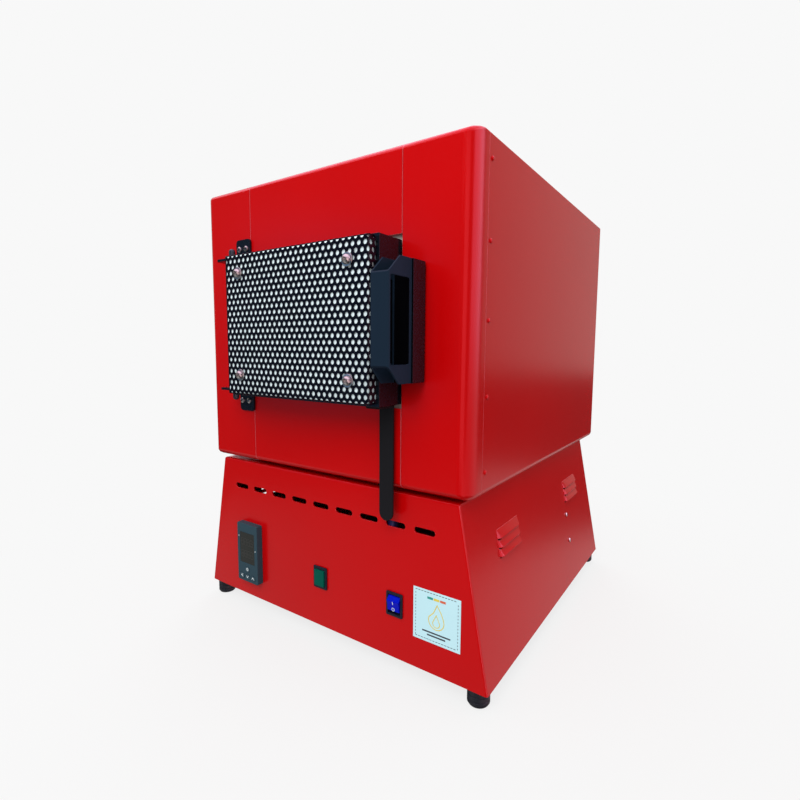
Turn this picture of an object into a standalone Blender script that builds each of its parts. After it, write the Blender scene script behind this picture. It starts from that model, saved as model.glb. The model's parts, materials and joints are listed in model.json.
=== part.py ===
"""Small front-loading electric kiln: insulated box casing on a tapered base, with a hinged door.

Sizes below are in millimetres in a shop frame: X to the right from the casing's left side,
Y backwards from the casing's front, Z up from the floor. mm() turns a point into the part's
own frame, in metres: origin at the bottom centre of the bounding box.
"""
import math

import bmesh
import bpy
from mathutils import Vector

for old in list(bpy.data.objects):
    bpy.data.objects.remove(old, do_unlink=True)

# ---------------------------------------------------------------- frame and clearances
MID_X = 235.0
MID_Y = 257.8
GAP = 0.3
SHEET = 2.0
OVER = 9.0

# ---------------------------------------------------------------- casing
CASE_W = 470.0
CASE_D = 560.0
CASE_Z0 = 249.0
CASE_Z1 = 666.4
CORNER_TOP, CORNER_LOW = 2.5, 10.0
CORNER_SWELL = 4.0
BEND_X, BEND_Z, BEND_Y = 16.0, 12.0, 26.0
SEAM_Y = 36.0
SEAM_L = 107.0
SEAM_R = 378.0
OPEN_Z0 = 353.4
OPEN_Z1 = 560.4
LIP_Y0, LIP_Y1 = 0.7, 7.6
SEAM_GAP = 0.4
REAR_Y = 558.3
FLANGE = 40.0
BEND_STEPS = 5

# ---------------------------------------------------------------- chamber
CH_X0, CH_X1 = 147.5, 337.5
CH_Z0, CH_Z1 = 382.0, 532.0
CH_Y1 = 440.0
MOUTH_Y0, MOUTH_Y1 = 8.0, 44.0
BRICK_X0, BRICK_X1 = 82.3, 402.7
BRICK_Z0, BRICK_Z1 = 316.3, 597.7
BRICK_Y1 = 504.7
JACKET_X0, JACKET_X1 = 5.0, 465.0
JACKET_Z0, JACKET_Z1 = 253.0, 660.0
JACKET_Y1 = 556.0
LINING_Y0 = MOUTH_Y1 + 0.4
ROW_Z = (402.0, 438.7, 475.3, 512.0)
ROD_R = 3.5
ROD_INSET = 4.0
ROD_BEND = 4.5
ROD_END_Y = 572.0
GROOVE_Y0, GROOVE_Y1 = 62.0, 428.0
GROOVE_HALF = 5.5
GROOVE_END = 11.0
GROOVE_DEPTH = 9.5
PROBE_X, PROBE_Z = 242.5, 518.0
PROBE_BORE = 5.5
HEARTH = (158.0, 327.0, 56.0, 428.0)
HEARTH_T = 12.0
COVER_X0, COVER_X1 = 120.0, 365.0
COVER_Z0, COVER_Z1 = 385.0, 535.0
COVER_Y1 = 588.0
COVER_SHEET = 1.5

# ---------------------------------------------------------------- door
DOOR_X0, DOOR_X1 = 112.0, 375.5
DOOR_Z0, DOOR_Z1 = 358.5, 554.0
DOOR_Y0, DOOR_Y1 = -41.0, 4.0
GUARD_X0, GUARD_X1 = 122.0, 372.5
GUARD_Z0, GUARD_Z1 = 362.0, 551.0
GUARD_Y0 = -57.0
GUARD_SHEET = 1.2
GUARD_CLIP = 3.0
BOLT_X = (150.0, 342.5)
BOLT_Z = (389.0, 525.5)
BOLT_BORE = 4.4
PIN_X, PIN_Y = 92.0, -22.0
PIN_R, PIN_BORE = 3.5, 3.9
HEAD_R = 4.6
PLATE_X0, PLATE_X1 = 77.5, 109.0
HANDLE_X0, HANDLE_X1 = 385.8, 410.7
HANDLE_Y0, HANDLE_Y1 = -72.4, -28.3
HANDLE_Z0, HANDLE_Z1 = 387.4, 524.5
HANDLE_WALL = 2.2
HANDLE_ROUND = 3.0
MITRE_TOP = (-50.5, 505.0)
MITRE_LOW = (-52.0, 407.3)
WINDOW_Y0, WINDOW_Y1 = -68.8, -33.4
WINDOW_Z0, WINDOW_Z1 = 408.5, 503.0
BRACKET_X1 = 412.5
BRACKET_Y0, BRACKET_Y1 = -28.0, -3.0
BRACKET_Z0, BRACKET_Z1 = 387.0, 524.8
STRIP_X0, STRIP_X1 = 350.5, 371.0
STRIP_Y0, STRIP_Y1 = -7.5, -4.5
STRIP_END_Z = 222.0

# ---------------------------------------------------------------- base
BASE_Z0, BASE_Z1 = 22.0, 245.5
BASE_Y0, BASE_Y1 = 9.0, 535.0
BASE_BOTTOM = (-26.2, 496.2)
BASE_TOP = (15.5, 454.5)
SLOTS = 9
SLOT_X0, SLOT_PITCH = 44.6, 43.5
SLOT_LEN, SLOT_H, SLOT_Z = 30.3, 8.0, 202.8
LOUVRE_Y = (94.0, 384.0)
LOUVRE_Z = (156.5, 168.2, 179.9)
LOUVRE_LEN = 72.0
LOUVRE_H = 11.0
LOUVRE_OUT = 4.6
WALL = 2.05
FEET = ((-8.0, 24.0), (478.0, 24.0), (-8.0, 519.0), (478.0, 519.0))
RAILS = (("support_rail_left", 60.0), ("support_rail_right", 386.0))
RAIL_W = 24.0
RAIL_Y0, RAIL_Y1 = 44.0, 506.0
GLAND_X, GLAND_Z = 90.0, 90.0
GLAND_BORE = 5.5
VENT_X0, VENT_PITCH, VENT_LEN = 160.0, 34.0, 26.0
VENT_Z0, VENT_Z1 = 184.0, 192.0
SINK_Y0, SINK_Y1 = 340.0, 420.0
SINK_Z0, SINK_Z1 = 76.0, 146.0

# ---------------------------------------------------------------- controls on the base's front
FACE_Y = BASE_Y0
PANEL_Z = 96.0
CTRL_X, CTRL_Z = 82.0, 98.0
CTRL_HALF_W, CTRL_HALF_H = 24.0, 48.0
CTRL_Y = FACE_Y - 11.0
CTRL_CAN_Y1 = FACE_Y + 78.0
DISPLAY_HALF_W = 17.2
DISPLAY_Z0, DISPLAY_Z1 = 81.0, 131.5
KEYS = ((CTRL_X, 71.0), (CTRL_X - 13.0, 59.0), (CTRL_X, 59.0), (CTRL_X + 13.0, 59.0))
KEY_HALF_W, KEY_HALF_H = 4.6, 3.6
KEY_PROUD = 0.7
LAMP_X = 233.0
ROCKER_X = 364.0
FRAME_W, FRAME_H = 25.5, 32.5
FRAME_PROUD = 2.6
NECK_HALF_W, NECK_HALF_H = 10.6, 13.8
CUTOUT_CLEAR = 0.4
ROCK_Y = FACE_Y + 3.0
ROCK_TILT = 9.0
ROCKER_HALF_W = 9.2


def mm(x, y, z):
    """A shop-frame point in millimetres, as a point of the part's frame in metres."""
    return Vector(((x - MID_X) / 1000.0, (y - MID_Y) / 1000.0, z / 1000.0))


def solid(name, points, faces):
    """One closed mesh object from millimetre points, welded, with its normals outward."""
    mesh = bpy.data.meshes.new(name)
    body = bmesh.new()
    verts = [body.verts.new(mm(*p)) for p in points]
    for face in faces:
        body.faces.new([verts[i] for i in face])
    bmesh.ops.remove_doubles(body, verts=body.verts, dist=1e-6)
    bmesh.ops.dissolve_degenerate(body, edges=body.edges, dist=1e-6)
    bmesh.ops.recalc_face_normals(body, faces=body.faces)
    body.to_mesh(mesh)
    body.free()
    obj = bpy.data.objects.new(name, mesh)
    bpy.context.scene.collection.objects.link(obj)
    return obj


def loft(name, loops):
    """Skin equal-length loops one after the other and cap both ends."""
    count = len(loops[0])
    points = [p for loop in loops for p in loop]
    faces = [tuple(range(count))]
    for k in range(len(loops) - 1):
        a, b = k * count, (k + 1) * count
        for i in range(count):
            j = (i + 1) % count
            faces.append((a + i, a + j, b + j, b + i))
    last = (len(loops) - 1) * count
    faces.append(tuple(last + i for i in reversed(range(count))))
    return solid(name, points, faces)


def box(name, x0, x1, y0, y1, z0, z1):
    """An axis-aligned block."""
    low = [(x0, y0, z0), (x1, y0, z0), (x1, y1, z0), (x0, y1, z0)]
    high = [(x, y, z1) for x, y, _ in low]
    return loft(name, [low, high])


def prism_y(name, outline, y0, y1):
    """A polygon of (x, z) points, extruded along Y."""
    return loft(name, [[(x, y0, z) for x, z in outline], [(x, y1, z) for x, z in outline]])


def prism_x(name, outline, x0, x1):
    """A polygon of (y, z) points, extruded along X."""
    return loft(name, [[(x0, y, z) for y, z in outline], [(x1, y, z) for y, z in outline]])


def prism_z(name, outline, z0, z1):
    """A polygon of (x, y) points, extruded along Z."""
    return loft(name, [[(x, y, z0) for x, y in outline], [(x, y, z1) for x, y in outline]])


def arc(cx, cz, r, start, end, steps):
    """Points of a circular arc in a plane, angles in degrees."""
    out = []
    for k in range(steps + 1):
        a = math.radians(start + (end - start) * k / steps)
        out.append((cx + r * math.cos(a), cz + r * math.sin(a)))
    return out


def rounded(x0, x1, z0, z1, r, steps=4, top=None):
    """A rounded rectangle's outline; its upper corners may have a radius of their own."""
    q = r if top is None else top
    out = arc(x1 - r, z0 + r, r, -90, 0, steps)
    out += arc(x1 - q, z1 - q, q, 0, 90, steps)
    out += arc(x0 + q, z1 - q, q, 90, 180, steps)
    out += arc(x0 + r, z0 + r, r, 180, 270, steps)
    return out


def lathe(name, centre, axis, profile, sides=20):
    """Turn (radius, along) pairs about an axis through centre; axis is 'x', 'y' or 'z'."""
    cx, cy, cz = centre
    loops = []
    for r, t in profile:
        loop = []
        for k in range(sides):
            a = 2 * math.pi * k / sides
            u, w = r * math.cos(a), r * math.sin(a)
            if axis == "z":
                loop.append((cx + u, cy + w, cz + t))
            elif axis == "y":
                loop.append((cx + u, cy + t, cz + w))
            else:
                loop.append((cx + t, cy + u, cz + w))
        loops.append(loop)
    return loft(name, loops)


def tube(name, path, radius, sides=8):
    """Sweep a circle along a path of points that stays in planes parallel to YZ."""
    loops = []
    count = len(path)
    for k, (x, y, z) in enumerate(path):
        back = path[max(k - 1, 0)]
        ahead = path[min(k + 1, count - 1)]
        ty, tz = ahead[1] - back[1], ahead[2] - back[2]
        size = math.hypot(ty, tz)
        ny, nz = -tz / size, ty / size
        loop = []
        for i in range(sides):
            a = 2 * math.pi * i / sides
            u, w = radius * math.cos(a), radius * math.sin(a)
            loop.append((x + u, y + w * ny, z + w * nz))
        loops.append(loop)
    return loft(name, loops)


def combine(target, tools, operation):
    """Apply exact Booleans and drop the tools."""
    for tool in tools:
        step = target.modifiers.new("step", "BOOLEAN")
        step.object = tool
        step.operation = operation
        step.solver = "EXACT"
    graph = bpy.context.evaluated_depsgraph_get()
    done = bpy.data.meshes.new_from_object(target.evaluated_get(graph))
    target.modifiers.clear()
    target.data = done
    for tool in tools:
        bpy.data.objects.remove(tool, do_unlink=True)
    return target


def cut(target, *tools):
    return combine(target, tools, "DIFFERENCE")


def join(target, *tools):
    return combine(target, tools, "UNION")


def keep(target, tool):
    return combine(target, [tool], "INTERSECT")


def twin(source, name):
    """A copy of an object with its own mesh."""
    obj = bpy.data.objects.new(name, source.data.copy())
    bpy.context.scene.collection.objects.link(obj)
    return obj


def tie(obj, tidy=1e-6):
    """Weld and re-aim the faces of a finished Boolean."""
    body = bmesh.new()
    body.from_mesh(obj.data)
    bmesh.ops.remove_doubles(body, verts=body.verts, dist=tidy)
    bmesh.ops.dissolve_degenerate(body, edges=body.edges, dist=tidy)
    bmesh.ops.recalc_face_normals(body, faces=body.faces)
    body.to_mesh(obj.data)
    body.free()
    return obj


# ================================================================ casing
def pan_loops(inset):
    """Front pan skin at a given inset: rounded-rectangle loops from the face back to the seam."""
    x0, x1 = inset, CASE_W - inset
    z0, z1 = CASE_Z0 + inset, CASE_Z1 - inset
    loops = []
    for k in range(BEND_STEPS + 1):
        turn = math.radians(90.0 * k / BEND_STEPS)
        low = max((CORNER_LOW - inset) * math.sin(turn), 1e-4)
        top = max((CORNER_TOP - inset) * math.sin(turn) + CORNER_SWELL * math.sin(2 * turn), 1e-4)
        y = inset + (BEND_Y - inset) * (1 - math.cos(turn))
        dx = (BEND_X - inset) * (1 - math.sin(turn))
        dz = (BEND_Z - inset) * (1 - math.sin(turn))
        ring = rounded(x0 + dx, x1 - dx, z0 + dz, z1 - dz, low, top=top)
        loops.append([(x, y, z) for x, z in ring])
    loops.append([(x, SEAM_Y, z) for x, _, z in loops[-1]])
    return loops


def casing_front():
    """The pressed front pan, parted at its two seams, with a folded lip round the door opening."""
    pan = loft("pan", pan_loops(0.0) + list(reversed(pan_loops(SHEET))))
    lip = box("lip", SEAM_L - SHEET, SEAM_R + SHEET, LIP_Y0, LIP_Y1, OPEN_Z0 - SHEET, OPEN_Z1 + SHEET)
    join(pan, lip)
    cut(pan, box("hole", SEAM_L, SEAM_R, -OVER, BEND_Y, OPEN_Z0, OPEN_Z1))
    tie(pan)
    half = SEAM_GAP / 2
    low, high = CASE_Z0 - OVER, CASE_Z1 + OVER
    pieces = (
        ("casing_front_left", -OVER, SEAM_L - half, low, high),
        ("casing_front_right", SEAM_R + half, CASE_W + OVER, low, high),
        ("casing_front_upper", SEAM_L + half, SEAM_R - half, OPEN_Z1 - OVER, high),
        ("casing_front_lower", SEAM_L + half, SEAM_R - half, low, OPEN_Z0 + OVER),
    )
    for name, x0, x1, z0, z1 in pieces:
        piece = twin(pan, name)
        tie(keep(piece, box("region", x0, x1, -OVER, SEAM_Y + OVER, z0, z1)))
    bpy.data.objects.remove(pan, do_unlink=True)


def wrap_skin(inset):
    """One skin of the wrap as an open outline: flange, left side, top, right side, flange."""
    x0, x1 = inset, CASE_W - inset
    z0, z1 = CASE_Z0 + inset, CASE_Z1 - inset
    low, top = CORNER_LOW - inset, CORNER_TOP - inset
    out = [(FLANGE, z0)]
    out += arc(x0 + low, z0 + low, low, 270, 180, BEND_STEPS)
    out += arc(x0 + top, z1 - top, top, 180, 90, BEND_STEPS)
    out += arc(x1 - top, z1 - top, top, 90, 0, BEND_STEPS)
    out += arc(x1 - low, z0 + low, low, 0, -90, BEND_STEPS)
    out += [(CASE_W - FLANGE, z0)]
    return out


def casing_wrap():
    """Left side, top and right side folded from one sheet, with a flange under each side."""
    outline = wrap_skin(0.0) + list(reversed(wrap_skin(SHEET)))
    prism_y("casing_wrap", outline, SEAM_Y + SEAM_GAP, REAR_Y - GAP)


def tail_points():
    """Where the element tails pass through the back of the kiln."""
    left = CH_X0 - ROD_INSET
    right = CH_X1 + ROD_INSET
    return [(x, z) for x in (left, right) for z in (ROW_Z[0], ROW_Z[-1])]


def bore(x, y0, y1, z, radius, sides=12):
    """A cutter for a round hole along Y."""
    return lathe("bore", (x, y0, z), "y", [(radius, 0), (radius, y1 - y0)], sides)


def back_holes(y0, y1):
    """Cutters for the element tails and the probe through a back wall."""
    clear = 2.2
    tools = [bore(x, y0, y1, z, ROD_R + clear) for x, z in tail_points()]
    tools.append(bore(PROBE_X, y0, y1, PROBE_Z, PROBE_BORE))
    return tools


def casing_rear():
    """Flat plate that closes the casing at the back."""
    ring = rounded(0, CASE_W, CASE_Z0, CASE_Z1, CORNER_LOW, BEND_STEPS, CORNER_TOP)
    plate = prism_y("casing_rear_panel", ring, REAR_Y, REAR_Y + SHEET)
    tie(cut(plate, *back_holes(REAR_Y - OVER, REAR_Y + OVER)))


def casing_floor():
    """Flat plate between the wrap's flanges."""
    edge = FLANGE + GAP
    box("casing_floor", edge, CASE_W - edge, SEAM_Y + GAP, REAR_Y - GAP, CASE_Z0, CASE_Z0 + SHEET)


# ================================================================ insulation and heating
def fibre_jacket():
    """Ceramic-fibre backing: a five-sided box round the brick lining."""
    jacket = box("fibre_jacket", JACKET_X0, JACKET_X1, LINING_Y0, JACKET_Y1, JACKET_Z0, JACKET_Z1)
    x0, x1 = BRICK_X0 - GAP, BRICK_X1 + GAP
    z0, z1 = BRICK_Z0 - GAP, BRICK_Z1 + GAP
    cut(jacket, box("room", x0, x1, LINING_Y0 - OVER, BRICK_Y1 + GAP, z0, z1))
    tie(cut(jacket, *back_holes(BRICK_Y1 - OVER, JACKET_Y1 + OVER)))


def brick_side(name, face, away):
    """A side wall of brick with four element grooves joined at their ends."""
    x0, x1 = (BRICK_X0, face) if away < 0 else (face, BRICK_X1)
    wall = box(name, x0, x1, LINING_Y0, BRICK_Y1, BRICK_Z0, BRICK_Z1)
    g0, g1 = sorted((face - away * OVER, face + away * GROOVE_DEPTH))
    h = GROOVE_HALF
    front = (GROOVE_Y0, GROOVE_Y0 + GROOVE_END)
    back = (GROOVE_Y1 - GROOVE_END, GROOVE_Y1)
    turns = ((front, ROW_Z[0], ROW_Z[1]), (back, ROW_Z[1], ROW_Z[2]), (front, ROW_Z[2], ROW_Z[3]))
    tools = [box("groove", g0, g1, GROOVE_Y0, GROOVE_Y1, z - h, z + h) for z in ROW_Z]
    tools += [box("turn", g0, g1, y0, y1, low - h, high + h) for (y0, y1), low, high in turns]
    for z in (ROW_Z[0], ROW_Z[-1]):
        tools.append(bore(face + away * ROD_INSET, GROOVE_Y1 - OVER, BRICK_Y1 + OVER, z, ROD_R + 1.1))
    tie(cut(wall, *tools))


def bricks():
    """The brick lining's two sides, roof, hearth and back."""
    brick_side("brick_left", CH_X0, -1)
    brick_side("brick_right", CH_X1, 1)
    x0, x1 = CH_X0 + GAP, CH_X1 - GAP
    box("brick_roof", x0, x1, LINING_Y0, BRICK_Y1, CH_Z1, BRICK_Z1)
    box("brick_hearth", x0, x1, LINING_Y0, BRICK_Y1, BRICK_Z0, CH_Z0)
    back = box("brick_back", x0, x1, CH_Y1, BRICK_Y1, CH_Z0 + GAP, CH_Z1 - GAP)
    tie(cut(back, bore(PROBE_X, CH_Y1 - OVER, BRICK_Y1 + OVER, PROBE_Z, PROBE_BORE)))


def mouth_face():
    """Fibre board that closes the front of the insulation round the chamber mouth."""
    x0, x1 = JACKET_X0 + 3, JACKET_X1 - 3
    z0, z1 = JACKET_Z0 + 4, JACKET_Z1 - 3
    board = box("mouth_face", x0, x1, MOUTH_Y0, MOUTH_Y1, z0, z1)
    tie(cut(board, box("mouth", CH_X0, CH_X1, MOUTH_Y0 - OVER, MOUTH_Y1 + OVER, CH_Z0, CH_Z1)))


def turn_corner(y, z_from, z_to, side):
    """The two rounded corners of one end turn, entering on z_from and leaving on z_to."""
    r = ROD_BEND
    start, middle, end = (270, 180, 90) if side < 0 else (-90, 0, 90)
    out = arc(y - side * r, z_from + r, r, start, middle, 3)
    return out + arc(y - side * r, z_to - r, r, middle, end, 3)


def element(name, x):
    """One serpentine heating element with both tails leaving through the back."""
    front = GROOVE_Y0 + GROOVE_HALF
    back = GROOVE_Y1 - GROOVE_HALF
    a, b, c, d = ROW_Z
    path = [(ROD_END_Y, a)]
    path += turn_corner(front, a, b, -1)
    path += turn_corner(back, b, c, 1)
    path += turn_corner(front, c, d, -1)
    path += [(ROD_END_Y, d)]
    tube(name, [(x, y, z) for y, z in path], ROD_R)


def heating():
    """Both elements, the loose hearth plate and the probe."""
    element("element_left", CH_X0 - ROD_INSET)
    element("element_right", CH_X1 + ROD_INSET)
    box("hearth_plate", *HEARTH, CH_Z0 + GAP, CH_Z0 + HEARTH_T)
    tip, head, end = 400.0, 562.0, 574.0
    profile = [(0.6, tip), (3.0, tip + 2.4), (3.0, head), (7.0, head), (7.0, end), (0.6, end)]
    lathe("thermocouple", (PROBE_X, 0, PROBE_Z), "y", profile, 14)


def terminal_cover():
    """Sheet box on the back over the element tails and the probe head."""
    y0, t = REAR_Y + SHEET + GAP, COVER_SHEET
    cover = box("terminal_cover", COVER_X0, COVER_X1, y0, COVER_Y1, COVER_Z0, COVER_Z1)
    room = box("room", COVER_X0 + t, COVER_X1 - t, y0 - OVER, COVER_Y1 - t, COVER_Z0 + t, COVER_Z1 - t)
    tie(cut(cover, room))


# ================================================================ door
def door_shell():
    """Folded door pan, open at the back."""
    pan = box("door_shell", DOOR_X0, DOOR_X1, DOOR_Y0, DOOR_Y1, DOOR_Z0, DOOR_Z1)
    t = SHEET
    room = box("room", DOOR_X0 + t, DOOR_X1 - t, DOOR_Y0 + t, DOOR_Y1 + OVER, DOOR_Z0 + t, DOOR_Z1 - t)
    tie(cut(pan, room))


def door_insulation():
    """Fibre block that fills the door, with a stepped plug for the chamber mouth."""
    e = SHEET + GAP
    block = box("door_insulation", DOOR_X0 + e, DOOR_X1 - e, DOOR_Y0 + e, DOOR_Y1, DOOR_Z0 + e, DOOR_Z1 - e)
    side, end, taper, shift = 6.0, 5.0, 2.0, 0.5
    x0, x1 = CH_X0 + side - shift, CH_X1 - side - shift
    z0, z1 = CH_Z0 + end, CH_Z1 - end
    root = rounded(x0, x1, z0, z1, 6, 3)
    tip = rounded(x0 + taper, x1 - taper, z0 + taper, z1 - taper, 6, 3)
    stations = ((DOOR_Y1 - 12, root), (DOOR_Y1 + 8, root), (DOOR_Y1 + 24, tip))
    loops = [[(x, y, z) for x, z in ring] for y, ring in stations]
    tie(join(block, loft("plug", loops)))


def door_gasket():
    """Fibre-tape seal between the door and the mouth face."""
    outline = rounded(122, 366, 366, 547, 6, 3)
    inner = rounded(142, 345, 377, 537, 4, 3)
    seal = prism_y("door_gasket", outline, DOOR_Y1 + GAP, MOUTH_Y0 - GAP)
    tie(cut(seal, prism_y("room", inner, DOOR_Y1 - OVER, MOUTH_Y0 + OVER)))


def guard_outline(inset):
    """The guard's outline with its clipped corners."""
    x0, x1 = GUARD_X0 + inset, GUARD_X1 - inset
    z0, z1 = GUARD_Z0 + inset, GUARD_Z1 - inset
    c = GUARD_CLIP
    out = [(x0 + c, z0), (x1 - c, z0), (x1, z0 + c), (x1, z1 - c)]
    out += [(x1 - c, z1), (x0 + c, z1), (x0, z1 - c), (x0, z0 + c)]
    return out


def bolt_holes(depth):
    """Cutters for the four guard bolts."""
    return [bore(x, GUARD_Y0 - OVER, GUARD_Y0 + depth, z, BOLT_BORE, 14) for x in BOLT_X for z in BOLT_Z]


def door_guard():
    """The stand-off guard as a folded lid, and the pad that lies inside it."""
    t, y1 = GUARD_SHEET, DOOR_Y0 - GAP
    lid = prism_y("door_guard", guard_outline(0), GUARD_Y0, y1)
    cut(lid, prism_y("room", guard_outline(t), GUARD_Y0 + t, y1 + OVER))
    tie(cut(lid, *bolt_holes(OVER)))
    e = t + GAP
    pad = prism_y("guard_pad", guard_outline(e), GUARD_Y0 + e, y1)
    tie(cut(pad, *bolt_holes(DOOR_Y0 - GUARD_Y0 + OVER)))


def guard_bolts():
    """Four bolts with washers that hold the guard to the door."""
    end = DOOR_Y0 - GUARD_Y0 - GAP
    profile = [(0.8, -7.6), (4.4, -6.8), (6.0, -5.0), (6.0, -1.7), (8.0, -1.7), (8.0, -GAP)]
    profile += [(4.0, -GAP), (4.0, end), (0.8, end)]
    count = 0
    for z in BOLT_Z:
        for x in BOLT_X:
            count += 1
            lathe(f"guard_bolt_{count}", (x, GUARD_Y0, z), "y", profile, 16)


def handle_grip():
    """Hollow box-section grip with mitred ends and a finger window through both cheeks."""
    side = [(HANDLE_Y1, HANDLE_Z0), (MITRE_LOW[0], HANDLE_Z0), (HANDLE_Y0, MITRE_LOW[1])]
    side += [(HANDLE_Y0, MITRE_TOP[1]), (MITRE_TOP[0], HANDLE_Z1), (HANDLE_Y1, HANDLE_Z1)]
    grip = prism_x("handle_grip", side, HANDLE_X0, HANDLE_X1)
    z0, z1 = HANDLE_Z0 - OVER, HANDLE_Z1 + OVER
    outline = rounded(HANDLE_X0, HANDLE_X1, HANDLE_Y0, HANDLE_Y1 + OVER, HANDLE_ROUND, 4)
    keep(grip, prism_z("rounder", outline, z0, z1))
    w = HANDLE_WALL
    hollow = rounded(HANDLE_X0 + w, HANDLE_X1 - w, HANDLE_Y0 + w, HANDLE_Y1 - w, 1.4, 3)
    cut(grip, prism_z("hollow", hollow, z0, z1))
    window = rounded(WINDOW_Y0, WINDOW_Y1, WINDOW_Z0, WINDOW_Z1, 2.0, 2)
    tie(cut(grip, prism_x("window", window, HANDLE_X0 - OVER, HANDLE_X1 + OVER)))


def handle_bracket():
    """Channel on the door's edge that carries the grip."""
    x1, y0, y1, z0, z1 = BRACKET_X1, BRACKET_Y0, BRACKET_Y1, BRACKET_Z0, BRACKET_Z1
    bracket = box("handle_bracket", DOOR_X1 + GAP, x1, y0, y1, z0, z1)
    t = SHEET
    tie(cut(bracket, box("room", DOOR_X1 - OVER, x1 - t, y0 + t, y1 - t, z0 - OVER, z1 + OVER)))


def safety_strip():
    """Flat bar under the door that reaches the door sensor in the base."""
    z_top = DOOR_Z0 - GAP
    mid, r = (STRIP_X0 + STRIP_X1) / 2, (STRIP_X1 - STRIP_X0) / 2
    outline = [(STRIP_X0, z_top)] + arc(mid, STRIP_END_Z, r, 180, 360, 8) + [(STRIP_X1, z_top)]
    bar = prism_y("safety_strip", outline, STRIP_Y0, STRIP_Y1)
    foot = box("foot", STRIP_X0, STRIP_X1, -34.0, STRIP_Y0 + 2.5, z_top - 3.0, z_top)
    tie(join(bar, foot))


def pin_hole(z):
    """Cutter for the hinge pin's hole through a plate at height z."""
    return lathe("bore", (PIN_X, PIN_Y, z - OVER), "z", [(PIN_BORE, 0), (PIN_BORE, 2 * OVER)], 16)


def hinge_ear(name, z_plate, z_tail):
    """Angle bracket on the door's hinge side: a flat ear with a pin hole and a tab on the door."""
    ear = [(79.0, -38.0), (111.7, -38.0), (111.7, -10.0), (80.0, -10.0), (76.0, -14.0), (76.0, -35.0)]
    plate = prism_z(name, ear, z_plate, z_plate + 3.5)
    z0, z1 = sorted((z_tail, z_plate + 1.5))
    join(plate, box("tab", 108.7, 111.7, -38.0, -10.0, z0, z1))
    tie(cut(plate, pin_hole(z_plate)))


def hinge_bracket(name, z_tab, z_far):
    """Fixed hinge half: a screwed plate on the casing with a tab that holds the pin."""
    z0, z1 = sorted((z_tab + 1.5, z_far))
    face = rounded(PLATE_X0, PLATE_X1, z0, z1, 5.0, 3)
    plate = prism_y(name, face, -3.3, -0.3)
    nose = arc(PIN_X, PIN_Y - 1.0, 9.0, 190, 350, 6)
    tab = [(PIN_X - 9.0, -1.0), (PIN_X - 9.0, -24.0)] + nose + [(PIN_X + 9.0, -24.0), (PIN_X + 9.0, -1.0)]
    join(plate, prism_z("tab", tab, z_tab, z_tab + 3.0))
    tie(cut(plate, pin_hole(z_tab)))


def hinges():
    """Two ears on the door, two brackets on the casing, and a headed pin through each pair."""
    hinge_ear("hinge_ear_top", 549.5, 515.0)
    hinge_ear("hinge_ear_bottom", 363.8, 401.0)
    hinge_bracket("hinge_bracket_top", 555.0, 586.0)
    hinge_bracket("hinge_bracket_bottom", 359.0, 330.0)
    dome = [(HEAD_R, 558.3), (HEAD_R, 565.5), (3.9, 567.6), (2.2, 568.9), (0.6, 569.2)]
    top = [(0.6, 543.0), (PIN_R, 543.0), (PIN_R, 558.3)] + dome
    lathe("hinge_pin_top", (PIN_X, PIN_Y, 0), "z", top, 18)
    cap = [(0.6, 348.2), (2.2, 348.5), (3.9, 349.9), (HEAD_R, 352.2), (HEAD_R, 358.7)]
    bottom = cap + [(PIN_R, 358.7), (PIN_R, 371.5), (0.6, 371.5)]
    lathe("hinge_pin_bottom", (PIN_X, PIN_Y, 0), "z", bottom, 18)


# ================================================================ base
def base_x(z, side):
    """The base wall's outer X at a height, side 0 left or 1 right."""
    t = (z - BASE_Z0) / (BASE_Z1 - BASE_Z0)
    return BASE_BOTTOM[side] * (1 - t) + BASE_TOP[side] * t


def frustum(name, inset, y0, y1, z0, z1):
    """A block with the base's tapered sides, inset from them."""
    low = [(base_x(z0, 0) + inset, y0, z0), (base_x(z0, 1) - inset, y0, z0)]
    low += [(base_x(z0, 1) - inset, y1, z0), (base_x(z0, 0) + inset, y1, z0)]
    high = [(base_x(z1, 0) + inset, y0, z1), (base_x(z1, 1) - inset, y0, z1)]
    high += [(base_x(z1, 1) - inset, y1, z1), (base_x(z1, 0) + inset, y1, z1)]
    return loft(name, [low, high])


def soften(obj, picks, offset, segments):
    """Bevel the edges whose both ends satisfy any of the tests in picks."""
    body = bmesh.new()
    body.from_mesh(obj.data)
    edges = []
    for edge in body.edges:
        ends = [(v.co.x * 1000 + MID_X, v.co.y * 1000 + MID_Y, v.co.z * 1000) for v in edge.verts]
        if any(all(test(*p) for p in ends) for test in picks):
            edges.append(edge)
    bmesh.ops.bevel(body, geom=edges, offset=offset / 1000, segments=segments, affect="EDGES", profile=0.5)
    bmesh.ops.recalc_face_normals(body, faces=body.faces)
    body.to_mesh(obj.data)
    body.free()
    return obj


def hood(side, y0, z0, skin):
    """One pressed louvre hood as a solid wedge; skin shrinks it to make the hollow."""
    sign = 1 if side else -1
    loops = []
    y1 = y0 + LOUVRE_LEN
    for y, k in ((y0 + skin, 0.25), (y0 + 5, 1.0), (y1 - 5, 1.0), (y1 - skin, 0.25)):
        bottom = z0 - (3.0 if skin else 0.0)
        top = z0 + LOUVRE_H - skin * 1.6
        wall_b = base_x(bottom, side)
        wall_t = base_x(top, side)
        reach = sign * (LOUVRE_OUT * k - skin)
        lip = base_x(z0, side) + reach
        inner = sign * (5.0 if skin else 1.2)
        ring = [(wall_b - inner, bottom), (lip + (wall_b - base_x(z0, side)), bottom), (lip, z0 + 1.0)]
        ring += [(wall_t + sign * 0.35 * (0 if skin else 1), top), (wall_t - inner, top)]
        loops.append([(x, y, z) for x, z in ring])
    return loft("hood", loops)


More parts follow.
